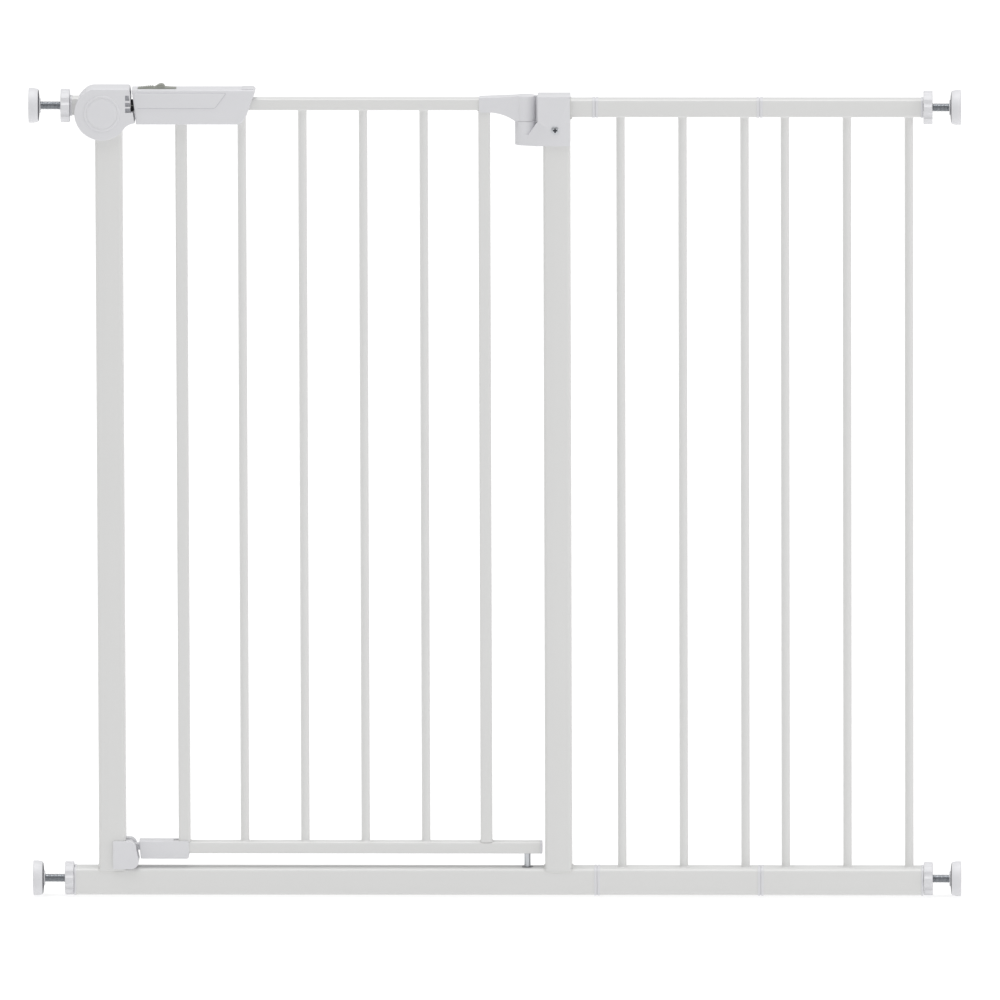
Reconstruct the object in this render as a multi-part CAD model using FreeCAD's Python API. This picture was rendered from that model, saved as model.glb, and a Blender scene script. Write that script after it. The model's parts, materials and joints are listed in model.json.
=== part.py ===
import FreeCAD, Part
import math
import os

# Pressure-mounted safety gate: welded steel frame, lift-and-swing door, two extension
# panels and four threaded wall spindles. Millimetres. +X runs along the gate from the
# latch side to the extension side, +Y away from the side with the badge, +Z up.
# The origin is on the floor under the middle of the gate.

V = FreeCAD.Vector
TOUCH = 0.05                      # radial running clearance of a pin or thread

# widths along X
PAD_FACE_X = 519.0                # wall faces of the pads, either side
FRAME_LEFT_X = -473.0             # outer face of the latch side inserts
JOINT_X = (112.0, 295.0)          # seams between frame, first and second panel
FRAME_RIGHT_X = 477.0             # outer face of the far side inserts
POST_WIDTH = 30.0
LATCH_POST_X = -430.0
HINGE_POST_X = 69.0
HINGE_AXIS_X = 34.0

# heights along Z
RAIL_BOTTOM_Z = 2.5               # the rail clears the floor, the pads touch it
RAIL_HEIGHT = 30.0
RAIL_TOP_Z = RAIL_BOTTOM_Z + RAIL_HEIGHT
PAD_RADIUS = 19.5
LOW_AXIS_Z = PAD_RADIUS           # lower spindles
LATCH_AXIS_Z = 894.0              # upper spindle, latch side
FAR_AXIS_Z = 892.0                # upper spindle, far side
POST_TOP_Z = 903.5

# steel tubes
WALL = 1.2
FRAME_DEPTH = 30.0                # along Y, posts and bottom rail
FRAME_CORNER = 3.6
TOP_RAIL = 20.0                   # square top rails and stubs
TOP_CORNER = 2.5
DOOR_TUBE = 13.0
DOOR_DEPTH = 16.0
DOOR_CORNER = 2.0
BAR_RADIUS = 4.75
BAR_WALL = 0.9
SPINDLE_HOLE_R = 6.0

# door
DOOR_LOW_Z = 48.7                 # underside of the door's bottom rail
DOOR_TOP_Z = 902.5                # top of the door's top rail
LATCH_STILE_X = -349.4
HINGE_STILE_X = -11.7
BAR_PITCH = (HINGE_STILE_X - LATCH_STILE_X) / 5
RAIL_END_X = 50.7                 # closed end of the door's bottom rail
END_CAP = 2.6
END_CAP_PLUG = 8.0
SLEEVE_RAIL_X = -385.0            # where the bottom rail ends inside its sleeve
SLEEVE_HALF = 10.0
SLEEVE_LOW_Z = 43.0
SLEEVE_TOP_Z = 63.0
SLEEVE_RIGHT_X = -344.5
SLEEVE_LEFT_X = (-398.2, -400.2)  # bottom and top of its leaning end
SLEEVE_NOTCH_X = -361.8
LIFT = 12.0                       # how far the door lifts to come off its catch

# extension panels
PANEL_BARS = (28.0, 97.0, 166.0)  # bar centres from a panel's left seam
PLUG_FLANGE = 6.6
PLUG_DEPTH = 23.0
PLUG_PROUD = 0.8                  # how much wider the plug's flanges are than the tube
PLUG_SEAM = 0.8
INSERT_FLANGE = 2.4
INSERT_DEPTH = 15.0
INSERT_PROUD = 1.0

# spindles
ROD_RADIUS = 4.7                  # M10, pitch 1.5
ROD_LENGTH = 78.0
PAD_THICKNESS = 10.6
NUT_THICKNESS = 10.0
NUT_RADIUS = 18.6
NUT_GAP = 0.3
NUT_LOBES = 8
SCALLOP_R = 5.5
SCALLOP_DEPTH = 1.8
THREAD_SEAT = 4.0                 # the rod ends this far short of the wall face
PAD_TAPER = 1.0
HUB_R = 8.5
HUB_HEIGHT = 2.5
INSERT_BORE_GAP = 0.08

# latch housing on the latch post
HOUSING_X = -437.4
HOUSING_Z = 887.4
HOUSING_R = 30.3
HOUSING_TOP_Z = 915.0
HOUSING_HALF = 19.0
HOUSING_BLEND = 15.0              # rounding from the disc into the flat top
HOUSING_CORNER = ((-408.6, 915.0), (-406.8, 914.3), (-406.1, 912.6))
HOUSING_EDGE_LOW = (-400.9, 876.4)
HOUSING_NECK = (-408.8, 873.6)
HOUSING_NECK_Z = 868.3
HOUSING_SCREWS = ((-457.5, 873.0), (-437.4, 900.0), (-437.4, 868.0))
SHELL = 2.0
SHELL_FIT = 0.1                   # between a shell and the tubes it closes over
BADGE_R = 20.3
BADGE_PROUD = 1.0
STRIKE_WINDOWS = ((888.5, 893.4), (895.2, 899.7), (901.9, 907.8))
WINDOW_LEFT_X = -411.0
STRIKE_RIGHT_X = (-405.0, -407.6)  # bottom and top of its leaning edge
MOUTH_X = -405.3                  # the housing is open from here to the door
PAST_EDGE_X = -398.0
PAST_FACE = 1.5
BOLT_SLOT_X = -413.0
BOLT_SLOT_LIFT_GAP = 0.4
SCREW_HEAD_R = 3.4
SCREW_SHANK_R = 1.8
BOLT_LOW_Z = 888.5
BOLT_HEIGHT = 12.0
BOLT_HALF = 4.0
BOLT_TIP_X = -411.5
BOLT_REAR_X = -378.0
BOLT_TRAVEL = 11.2
SLOT_GAP = 0.5

# catch at the foot of the latch post, and the tongue that drops into it
CATCH_LEFT_X = -429.0
CATCH_TOP_Z = 63.9
CATCH_WALL = 3.0
TONGUE_X = (-413.2, -386.0)
TONGUE_HALF = 4.0
TONGUE_LOW_Z = 52.2
TONGUE_HEIGHT = 7.3

# hinge
KNUCKLE_R = 11.5
SEAM_Z = 877.5                    # top of the lower barrel
SEAM_GAP = 0.3
BARREL_LOW_Z = 850.7
KNUCKLE_TOP_Z = 905.5
BRACKET_LEFT_X = 47.9
BRACKET_HALF = 17.2
BRACKET_TOP_Z = 906.0
PIN_R = 3.5
PIN_TOP_Z = 903.0
LOWER_PIN_FOOT_Z = 14.0
SPRING_BORE_R = 7.5
SPRING_RING_R = (6.8, 5.2)
BARREL_FLOOR = 3.0
BARREL_BUSH = 6.0
CREASE_FOOT = (37.9, 863.0)       # where the bracket's slanted top meets the barrel
GAP_RIB_HALF = 3.0                # rib that closes the gap behind the knuckle
KNUCKLE_GAP = 0.4
BUSH_R = 5.0
BUSH_FOOT_Z = 18.0
BUSH_FLANGE_R = 6.3
BUSH_FLANGE = 0.8
ARM_HALF = 9.2
ARM_LEFT_X = -17.3
ARM_UNDER_Z = 887.4
BRACKET_SCREW = (67.5, 868.5)
BRACKET_SCREW_R = 2.2
BRACKET_HEAD_R = 4.4
BRACKET_HEAD = 1.6

# handle
HANDLE_TOP_Z = 913.5
HANDLE_LOW_Z = 874.5
HANDLE_HALF = 15.0
HANDLE_WALL = 2.2
HANDLE_SCREWS = ((-392.0, 880.8), (-325.0, 881.5), (-292.0, 908.0))
HANDLE_HEAD_R = 3.2
HANDLE_HEAD = (1.6, 0.2)          # depth of a screw head's foot and crown below the face
HANDLE_BOSS_R = 3.9
HANDLE_SHANK_R = 1.5
HANDLE_SHANK_END_Y = -9.0
HANDLE_MOUTH_X = (-406.0, -396.0)

# thumb slider and the bolt's spring
PLATE_X = (-397.5, -354.6)
PLATE_GAP = 0.3
PLATE_THICKNESS = 1.2
PLATE_WIDTH = 14.0
RIBS = 7
RIB_PITCH = 2.45
RIB_HEIGHT = 1.0
NUB_X = (-379.0, -366.8)
NUB_HALF = 6.0
NUB_TOP_Z = 918.4
STEM_X = (-384.0, -378.0)
STEM_HALF = 2.5
STEM_SLOT_LOW_Z = 905.0
LOCK_SPRING_R = (3.4, 2.4)


def save(name, *solids):
    """Write one node; several solids make a group of separate pieces."""
    shape = solids[0] if len(solids) == 1 else Part.makeCompound(list(solids))
    shape.exportStep("parts/" + name + ".step")


def box(x0, x1, y0, y1, z0, z1):
    return Part.makeBox(x1 - x0, y1 - y0, z1 - z0, V(x0, y0, z0))


def rod(radius, start, end):
    """A round bar from one point to another."""
    run = end.sub(start)
    return Part.makeCylinder(radius, run.Length, start, run)


def rounded(u, v, width, height, radius, place):
    """A rounded rectangle centred on (u, v); place turns (u, v) into a point."""
    a = width / 2
    b = height / 2
    bend = radius * (1 - math.sqrt(0.5))
    edges = []
    corners = ((1, 1), (-1, 1), (-1, -1), (1, -1))
    ends = []
    for i, (p, q) in enumerate(corners):
        along = place(u + p * (a - radius), v + q * b)
        middle = place(u + p * (a - bend), v + q * (b - bend))
        side = place(u + p * a, v + q * (b - radius))
        first, last = (side, along) if i % 2 == 0 else (along, side)
        ends.append((first, last))
        edges.append(Part.Arc(first, middle, last).toShape())
    for i in range(4):
        edges.append(Part.makeLine(ends[i][1], ends[(i + 1) % 4][0]))
    return Part.Face(Part.Wire(Part.__sortEdges__(edges)))


def round_tube(x, z0, z1):
    """A thin-walled round bar of the gate, standing on a rail."""
    outer = rod(BAR_RADIUS, V(x, 0, z0), V(x, 0, z1))
    return outer.cut(rod(BAR_RADIUS - BAR_WALL, V(x, 0, z0), V(x, 0, z1)))


def bar_x(x0, x1, z, depth, height, radius):
    """A solid rounded bar along X, centred on Y = 0."""
    face = rounded(0, z, depth, height, radius, lambda y, w: V(x0, y, w))
    return face.extrude(V(x1 - x0, 0, 0))


def bar_z(x, z0, z1, width, depth, radius):
    """A solid rounded bar along Z, centred on Y = 0."""
    face = rounded(x, 0, width, depth, radius, lambda u, v: V(u, v, z0))
    return face.extrude(V(0, 0, z1 - z0))


def tube_x(x0, x1, z, depth, height, radius):
    outer = bar_x(x0, x1, z, depth, height, radius)
    return outer.cut(bar_x(x0, x1, z, depth - 2 * WALL, height - 2 * WALL, radius - WALL))


def tube_z(x, z0, z1, width, depth, radius):
    outer = bar_z(x, z0, z1, width, depth, radius)
    return outer.cut(bar_z(x, z0, z1, width - 2 * WALL, depth - 2 * WALL, radius - WALL))


def outline(*parts):
    """A closed face in the XZ plane from (x, z) points; a middle point marks an arc."""
    edges = []
    for part in parts:
        points = [V(x, 0, z) for x, z in part]
        if len(points) == 3:
            edges.append(Part.Arc(*points).toShape())
        else:
            edges.append(Part.makeLine(*points))
    return Part.Face(Part.Wire(edges))


def slab(face, y0, y1):
    """A face in the XZ plane made into a slab between two depths."""
    moved = face.copy()
    moved.translate(V(0, y0, 0))
    return moved.extrude(V(0, y1 - y0, 0))


def shell_half(face, half, wall, side):
    """One half of a two-shell casing; side is -1 for the front, 1 for the rear."""
    inner = face.makeOffset2D(-wall)
    depth = sorted((0, side * half))
    hollow = sorted((0, side * (half - wall)))
    return slab(face, *depth).cut(slab(inner, *hollow))


# frame -------------------------------------------------------------------------------

def frame_tubes():
    rail_z = RAIL_BOTTOM_Z + RAIL_HEIGHT / 2
    flange = PLUG_FLANGE / 2
    left = FRAME_LEFT_X + INSERT_FLANGE
    rail = tube_x(left, JOINT_X[0] - flange, rail_z, FRAME_DEPTH, RAIL_HEIGHT, FRAME_CORNER)
    bush_hole = rod(BUSH_R, V(HINGE_AXIS_X, 0, rail_z), V(HINGE_AXIS_X, 0, RAIL_TOP_Z))
    save("bottom_rail", rail.cut(bush_hole))

    post = tube_z(LATCH_POST_X, RAIL_TOP_Z, POST_TOP_Z, POST_WIDTH, FRAME_DEPTH, FRAME_CORNER)
    post_left = LATCH_POST_X - POST_WIDTH / 2
    spindle_hole = rod(SPINDLE_HOLE_R, V(post_left - 1, 0, LATCH_AXIS_Z),
                       V(LATCH_POST_X, 0, LATCH_AXIS_Z))
    save("latch_post", post.cut(spindle_hole))

    hinge_post = tube_z(HINGE_POST_X, RAIL_TOP_Z, POST_TOP_Z, POST_WIDTH, FRAME_DEPTH, FRAME_CORNER)
    for side in (-1, 1):
        hinge_post = hinge_post.cut(bracket_screw(side))
    save("hinge_post", hinge_post)

    save("latch_side_stub", tube_x(left, post_left, LATCH_AXIS_Z, TOP_RAIL, TOP_RAIL, TOP_CORNER))
    post_right = HINGE_POST_X + POST_WIDTH / 2
    save("hinge_side_stub", tube_x(post_right, JOINT_X[0] - flange, FAR_AXIS_Z,
                                   TOP_RAIL, TOP_RAIL, TOP_CORNER))


def extension_panel(number, x0, x1):
    """Two rails with three round bars welded between them."""
    rail_z = RAIL_BOTTOM_Z + RAIL_HEIGHT / 2
    name = "extension_" + str(number)
    start = x0 + PLUG_FLANGE / 2
    save(name + "_top_rail", tube_x(start, x1, FAR_AXIS_Z, TOP_RAIL, TOP_RAIL, TOP_CORNER))
    save(name + "_bottom_rail", tube_x(start, x1, rail_z, FRAME_DEPTH, RAIL_HEIGHT, FRAME_CORNER))
    top = FAR_AXIS_Z - TOP_RAIL / 2
    save(name + "_bars", *[round_tube(x0 + bar, RAIL_TOP_Z, top) for bar in PANEL_BARS])


def joint_plug(name, seam_x, z, depth, height, radius):
    """A plug that joins two tubes, with two thin flanges that meet at the seam."""
    reach = PLUG_FLANGE / 2
    body = bar_x(seam_x - PLUG_DEPTH, seam_x + PLUG_DEPTH, z,
                 depth - 2 * WALL, height - 2 * WALL, radius - WALL)
    for side in (-1, 1):
        a, b = sorted((seam_x + side * PLUG_SEAM / 2, seam_x + side * reach))
        body = body.fuse(bar_x(a, b, z, depth + PLUG_PROUD, height + PLUG_PROUD, radius))
    core = bar_x(seam_x - PLUG_SEAM, seam_x + PLUG_SEAM, z,
                 depth - PLUG_PROUD, height - PLUG_PROUD, radius)
    save(name, body.fuse(core).removeSplitter())


def end_insert(name, side, z, tube_z_mid, depth, height, radius):
    """A plug in a tube's open end, bored for the threaded rod."""
    face = FRAME_LEFT_X if side < 0 else FRAME_RIGHT_X
    inner = face - side * INSERT_FLANGE
    tail = inner - side * INSERT_DEPTH
    a, b = sorted((inner, tail))
    plug = bar_x(a, b, tube_z_mid, depth - 2 * WALL, height - 2 * WALL, radius - WALL)
    a, b = sorted((face, inner))
    plug = plug.fuse(bar_x(a, b, tube_z_mid, depth + INSERT_PROUD,
                           height + INSERT_PROUD, radius))
    bore = rod(ROD_RADIUS + INSERT_BORE_GAP, V(face + side, 0, z), V(tail - side, 0, z))
    save(name, plug.cut(bore).removeSplitter())


def housing_face():
    """Side outline of the latch housing: a disc that grows a square shoulder."""
    rise = HOUSING_TOP_Z - HOUSING_Z
    dx = math.sqrt((HOUSING_R - HOUSING_BLEND) ** 2 - (rise - HOUSING_BLEND) ** 2)
    turn = math.atan2(rise - HOUSING_BLEND, -dx)
    on_disc = (HOUSING_X + HOUSING_R * math.cos(turn), HOUSING_Z + HOUSING_R * math.sin(turn))
    half_turn = (turn + math.pi / 2) / 2
    mid = (HOUSING_X - dx + HOUSING_BLEND * math.cos(half_turn),
           HOUSING_TOP_Z - HOUSING_BLEND + HOUSING_BLEND * math.sin(half_turn))
    flat = (HOUSING_X - dx, HOUSING_TOP_Z)
    drop = HOUSING_NECK_Z - HOUSING_Z
    neck = (HOUSING_X + math.sqrt(HOUSING_R ** 2 - drop ** 2), HOUSING_NECK_Z)
    lower_left = 0.5
    far = (HOUSING_X - HOUSING_R * math.cos(lower_left),
           HOUSING_Z - HOUSING_R * math.sin(lower_left))
    return outline((on_disc, mid, flat), (flat, HOUSING_CORNER[0]), HOUSING_CORNER,
                   (HOUSING_CORNER[2], HOUSING_EDGE_LOW), (HOUSING_EDGE_LOW, HOUSING_NECK, neck),
                   (neck, far, on_disc))


def latch_housing():
    face = housing_face()
    half_post = POST_WIDTH / 2 + SHELL_FIT
    post = box(LATCH_POST_X - half_post, LATCH_POST_X + half_post, -half_post, half_post,
               HOUSING_Z - 2 * HOUSING_R, POST_TOP_Z + SHELL_FIT)
    half_stub = TOP_RAIL / 2 + SHELL_FIT
    stub = box(HOUSING_X - 2 * HOUSING_R, LATCH_POST_X, -half_stub, half_stub,
               LATCH_AXIS_Z - half_stub, LATCH_AXIS_Z + half_stub)
    slot_half = BOLT_HALF + SLOT_GAP
    slot = box(BOLT_SLOT_X, PAST_EDGE_X, -slot_half, slot_half,
               BOLT_LOW_Z - SLOT_GAP, BOLT_LOW_Z + BOLT_HEIGHT + LIFT + BOLT_SLOT_LIFT_GAP)
    past = HOUSING_HALF + PAST_FACE
    mouth = box(MOUTH_X, PAST_EDGE_X, -past, past, STRIKE_WINDOWS[0][0], STRIKE_WINDOWS[-1][1])
    for name, side in (("latch_housing_front", -1), ("latch_housing_rear", 1)):
        half = shell_half(face, HOUSING_HALF, SHELL, side)
        half = half.cut(post).cut(stub).cut(slot).cut(mouth)
        depth = sorted((side * past, side * (HOUSING_HALF - SHELL)))
        for low, high in STRIKE_WINDOWS:
            half = half.cut(box(WINDOW_LEFT_X, PAST_EDGE_X, *depth, low, high))
        if side > 0:
            for x, z in HOUSING_SCREWS:
                half = half.cut(housing_screw(x, z))
        save(name, half)
    front = V(HOUSING_X, -HOUSING_HALF - BADGE_PROUD, HOUSING_Z)
    save("latch_badge", rod(BADGE_R, front, front.add(V(0, BADGE_PROUD, 0))))
    save("housing_screws", *[housing_screw(x, z) for x, z in HOUSING_SCREWS])


def housing_screw(x, z):
    """A cap-head screw that holds the rear shell."""
    head = rod(SCREW_HEAD_R, V(x, HOUSING_HALF, z), V(x, HOUSING_HALF + BADGE_PROUD, z))
    shank = rod(SCREW_SHANK_R, V(x, POST_WIDTH / 2, z), V(x, HOUSING_HALF, z))
    return head.fuse(shank).removeSplitter()


def strike_insert():
    """The channel in the housing that the bolt runs into."""
    top = STRIKE_WINDOWS[-1][1]
    low = STRIKE_WINDOWS[0][0]
    half = HOUSING_HALF - SHELL
    left = LATCH_POST_X + POST_WIDTH / 2 + 0.2
    low_right, top_right = STRIKE_RIGHT_X
    face = outline(((left, low), (low_right, low)), ((low_right, low), (top_right, top)),
                   ((top_right, top), (left, top)), ((left, top), (left, low)))
    cheeks = slab(face, -half, half)
    inside = BOLT_HALF + SLOT_GAP
    back_wall = 2.3
    channel = box(left + back_wall, PAST_EDGE_X, -inside, inside, low - 1, top + 1)
    save("strike_insert", cheeks.cut(channel))


def bottom_catch():
    """A clip round the foot of the latch post that holds the door's tongue."""
    half = FRAME_DEPTH / 2 + CATCH_WALL
    post_right = LATCH_POST_X + POST_WIDTH / 2
    left = CATCH_LEFT_X
    top = CATCH_TOP_Z
    shoulder = (-409.2, top)
    nose = (-403.4, 54.5)
    chin = (-400.5, 41.0)
    toe = (-410.0, RAIL_TOP_Z)
    face = outline(((left, RAIL_TOP_Z), (left, top)), ((left, top), shoulder),
                   (shoulder, (-405.2, 61.0), nose), (nose, chin),
                   (chin, (-402.2, 36.0), toe), (toe, (left, RAIL_TOP_Z)))
    clip = slab(face, -half, half)
    inside = POST_WIDTH / 2
    above = CATCH_TOP_Z + 1
    post = box(left - 1, post_right, -inside, inside, RAIL_TOP_Z - 1, above)
    channel = box(post_right, TONGUE_X[1], -TONGUE_HALF - SLOT_GAP, TONGUE_HALF + SLOT_GAP,
                  TONGUE_LOW_Z - 1.0, above)
    save("bottom_catch", clip.cut(post).cut(channel))


def bracket_screw(side):
    """A round-head screw through the bracket into the post."""
    x, z = BRACKET_SCREW
    face = side * BRACKET_HALF
    tip = side * 9.0
    shank = rod(BRACKET_SCREW_R, V(x, tip, z), V(x, face, z))
    head = rod(BRACKET_HEAD_R, V(x, face, z), V(x, face + side * BRACKET_HEAD, z))
    return shank.fuse(head).removeSplitter()


def on_hinge(z):
    return V(HINGE_AXIS_X, 0, z)


def bracket_web():
    """The lower part of the bracket, which flares from its corners into the barrel."""
    left = BRACKET_LEFT_X
    half = BRACKET_HALF
    span = left - HINGE_AXIS_X
    angle = math.atan2(half, span) + math.acos(KNUCKLE_R / math.hypot(span, half))
    touch = V(HINGE_AXIS_X + KNUCKLE_R * math.cos(angle), KNUCKLE_R * math.sin(angle), BARREL_LOW_Z)
    corners = [V(left, -half, BARREL_LOW_Z), V(left, half, BARREL_LOW_Z), touch,
               V(touch.x, -touch.y, BARREL_LOW_Z), V(left, -half, BARREL_LOW_Z)]
    web = Part.Face(Part.makePolygon(corners)).extrude(V(0, 0, SEAM_Z - BARREL_LOW_Z))
    crease_x, crease_z = CREASE_FOOT
    barrel_left = HINGE_AXIS_X - KNUCKLE_R
    crease = (crease_x, crease_z)
    slant = outline(((left, SEAM_Z), crease), (crease, (barrel_left, crease_z)),
                    ((barrel_left, crease_z), (barrel_left, SEAM_Z)),
                    ((barrel_left, SEAM_Z), (left, SEAM_Z)))
    return web.cut(slab(slant, -half, half))


def hinge_bracket():
    """The casting that caps the hinge post and carries the lower hinge barrel."""
    left = BRACKET_LEFT_X
    right = HINGE_POST_X + POST_WIDTH / 2
    half = BRACKET_HALF
    cap = box(left, right, -half, half, BARREL_LOW_Z, BRACKET_TOP_Z)
    rib = box(HINGE_AXIS_X + KNUCKLE_R - 1, left + 1, -GAP_RIB_HALF, GAP_RIB_HALF,
              SEAM_Z - 1, KNUCKLE_TOP_Z)
    rib = rib.cut(rod(KNUCKLE_R + KNUCKLE_GAP, on_hinge(SEAM_Z), on_hinge(KNUCKLE_TOP_Z)))
    inside = POST_WIDTH / 2
    post = box(right - POST_WIDTH, right + 1, -inside, inside, BARREL_LOW_Z - 1, POST_TOP_Z)
    barrel = rod(KNUCKLE_R, on_hinge(BARREL_LOW_Z), on_hinge(SEAM_Z))
    spring_floor = BARREL_LOW_Z + BARREL_FLOOR
    bore = rod(SPRING_BORE_R, on_hinge(spring_floor), on_hinge(SEAM_Z))
    foot_bore = rod(PIN_R + TOUCH, on_hinge(BARREL_LOW_Z - 1), on_hinge(SEAM_Z))
    bracket = cap.fuse(rib).fuse(bracket_web()).fuse(barrel).cut(post).cut(bore).cut(foot_bore)
    bracket = bracket.removeSplitter()
    for side in (-1, 1):
        bracket = bracket.cut(bracket_screw(side))
    save("hinge_bracket", bracket)
    save("bracket_screws", bracket_screw(-1), bracket_screw(1))

    bush_low = SEAM_Z - BARREL_BUSH
    bush = rod(SPRING_BORE_R, on_hinge(bush_low), on_hinge(SEAM_Z))
    save("barrel_bush", bush.cut(foot_bore))
    # the coils of the closing spring fill a ring round the pin
    outer, inner = SPRING_RING_R
    ring = rod(outer, on_hinge(spring_floor), on_hinge(bush_low))
    save("closing_spring", ring.cut(rod(inner, on_hinge(spring_floor), on_hinge(bush_low))))


def lower_bush():
    """The flanged bush in the bottom rail that the door's lower pin stands in."""
    flange_top = RAIL_TOP_Z + BUSH_FLANGE
    flange = rod(BUSH_FLANGE_R, on_hinge(RAIL_TOP_Z), on_hinge(flange_top))
    bush = rod(BUSH_R, on_hinge(BUSH_FOOT_Z), on_hinge(RAIL_TOP_Z)).fuse(flange)
    bush = bush.cut(rod(PIN_R + TOUCH, on_hinge(BUSH_FOOT_Z), on_hinge(flange_top)))
    save("lower_pivot_bush", bush.removeSplitter())


# door --------------------------------------------------------------------------------

def door_frame():
    half_tube = DOOR_TUBE / 2
    top_z = DOOR_TOP_Z - half_tube
    low_z = DOOR_LOW_Z + half_tube
    left = LATCH_STILE_X - half_tube
    right = HINGE_STILE_X + half_tube
    save("door_top_rail", tube_x(left, right, top_z, DOOR_DEPTH, DOOR_TUBE, DOOR_CORNER))
    pin = rod(PIN_R, on_hinge(LOWER_PIN_FOOT_Z), on_hinge(low_z))
    rail = tube_x(SLEEVE_RAIL_X, RAIL_END_X - END_CAP, low_z, DOOR_DEPTH, DOOR_TUBE, DOOR_CORNER)
    save("door_bottom_rail", rail.cut(pin))
    save("lower_pivot_pin", pin)
    cap_x = RAIL_END_X - END_CAP
    cap = bar_x(cap_x, RAIL_END_X, low_z, DOOR_DEPTH, DOOR_TUBE, DOOR_CORNER)
    plug = bar_x(cap_x - END_CAP_PLUG, cap_x, low_z, DOOR_DEPTH - 2 * WALL, DOOR_TUBE - 2 * WALL,
                 DOOR_CORNER - WALL)
    save("rail_end_cap", cap.fuse(plug).removeSplitter())

    foot = DOOR_LOW_Z + DOOR_TUBE
    head = DOOR_TOP_Z - DOOR_TUBE
    for name, x in (("latch_stile", LATCH_STILE_X), ("hinge_stile", HINGE_STILE_X)):
        save(name, tube_z(x, foot, head, DOOR_TUBE, DOOR_DEPTH, DOOR_CORNER))
    save("door_bars", *[round_tube(LATCH_STILE_X + i * BAR_PITCH, foot, head) for i in range(1, 5)])


def door_space():
    """The room that the door's tubes take inside the plastic parts."""
    half = DOOR_TUBE / 2
    deep = DOOR_DEPTH / 2
    head = DOOR_TOP_Z - DOOR_TUBE
    foot = DOOR_LOW_Z + DOOR_TUBE
    space = [box(LATCH_STILE_X - half, HINGE_STILE_X + half, -deep, deep, head, DOOR_TOP_Z)]
    space.append(box(SLEEVE_RAIL_X, RAIL_END_X, -deep, deep, DOOR_LOW_Z, foot))
    for x in (LATCH_STILE_X, HINGE_STILE_X):
        space.append(box(x - half, x + half, -deep, deep, foot, head))
    first_bar = LATCH_STILE_X + BAR_PITCH
    space.append(rod(BAR_RADIUS, V(first_bar, 0, foot), V(first_bar, 0, head)))
    return space


def bottom_sleeve():
    """The boot on the door's lower corner, with the tongue that drops into the catch."""
    low = SLEEVE_LOW_Z
    top = SLEEVE_TOP_Z
    right = SLEEVE_RIGHT_X
    low_left, top_left = SLEEVE_LEFT_X
    chamfer = 1.5
    face = outline(((low_left, low), (right - chamfer, low)),
                   ((right - chamfer, low), (right, low + chamfer)),
                   ((right, low + chamfer), (right, top)), ((right, top), (top_left, top)),
                   ((top_left, top), (low_left, low)))
    sleeve = slab(face, -SLEEVE_HALF, SLEEVE_HALF)
    for space in door_space():
        sleeve = sleeve.cut(space)
    tongue = box(*TONGUE_X, -TONGUE_HALF, TONGUE_HALF, TONGUE_LOW_Z, TONGUE_LOW_Z + TONGUE_HEIGHT)
    notch_half = 5.0
    notch = box(SLEEVE_NOTCH_X, LATCH_STILE_X - DOOR_TUBE / 2, -notch_half, notch_half,
                DOOR_LOW_Z + DOOR_TUBE, top)
    save("bottom_sleeve", sleeve.cut(tongue).cut(notch))
    save("bottom_tongue", tongue)


def hinge_arm():
    """The upper corner piece that carries the door's hinge knuckle."""
    left = ARM_LEFT_X
    stile_right = HINGE_STILE_X + DOOR_TUBE / 2
    seat = SEAM_Z + SEAM_GAP
    top_left = (left, DOOR_TOP_Z + 1.0)
    under = ARM_UNDER_Z
    knuckle_left = HINGE_AXIS_X - KNUCKLE_R + 0.1
    face = outline((top_left, (HINGE_AXIS_X, KNUCKLE_TOP_Z)),
                   ((HINGE_AXIS_X, KNUCKLE_TOP_Z), (HINGE_AXIS_X, seat)),
                   ((HINGE_AXIS_X, seat), (knuckle_left, seat)),
                   ((knuckle_left, seat), (9.5, 884.6), (stile_right, under)),
                   ((stile_right, under), (left, under)), ((left, under), top_left))
    knuckle = rod(KNUCKLE_R, on_hinge(seat), on_hinge(KNUCKLE_TOP_Z))
    arm = slab(face, -ARM_HALF, ARM_HALF).fuse(knuckle).removeSplitter()
    arm = arm.cut(rod(PIN_R + TOUCH, on_hinge(seat - 1), on_hinge(PIN_TOP_Z + SEAM_GAP)))
    for space in door_space():
        arm = arm.cut(space)
    save("hinge_arm", arm)


def pivot_pin():
    save("pivot_pin", rod(PIN_R, on_hinge(BARREL_LOW_Z + 0.5), on_hinge(PIN_TOP_Z)))


def handle_screw(x, z):
    foot, crown = (HANDLE_HALF - depth for depth in HANDLE_HEAD)
    head = rod(HANDLE_HEAD_R, V(x, foot, z), V(x, crown, z))
    return head.fuse(rod(HANDLE_SHANK_R, V(x, HANDLE_SHANK_END_Y, z), V(x, foot, z))).removeSplitter()


def screw_mouth(x, z):
    """The open end of a screw's counterbore, through which its head is reached."""
    return rod(HANDLE_HEAD_R, V(x, HANDLE_HALF - HANDLE_HEAD[0], z),
               V(x, HANDLE_HALF + PAST_FACE, z))


def handle_face():
    """Side outline of the handle: a long grip whose free end slants back to the door."""
    top = HANDLE_TOP_Z
    low = HANDLE_LOW_Z
    top_left = (-403.9, top)
    top_right = (-269.2, top)
    shoulder = (-266.7, top - 2.9)
    slant_foot = (-274.6, 889.0)
    low_right = (-284.0, low)
    low_left = (-399.0, low)
    return outline((top_left, top_right), (top_right, (-267.2, top - 0.9), shoulder),
                   (shoulder, slant_foot), (slant_foot, (-278.4, 880.6), low_right),
                   (low_right, low_left), (low_left, top_left))


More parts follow.
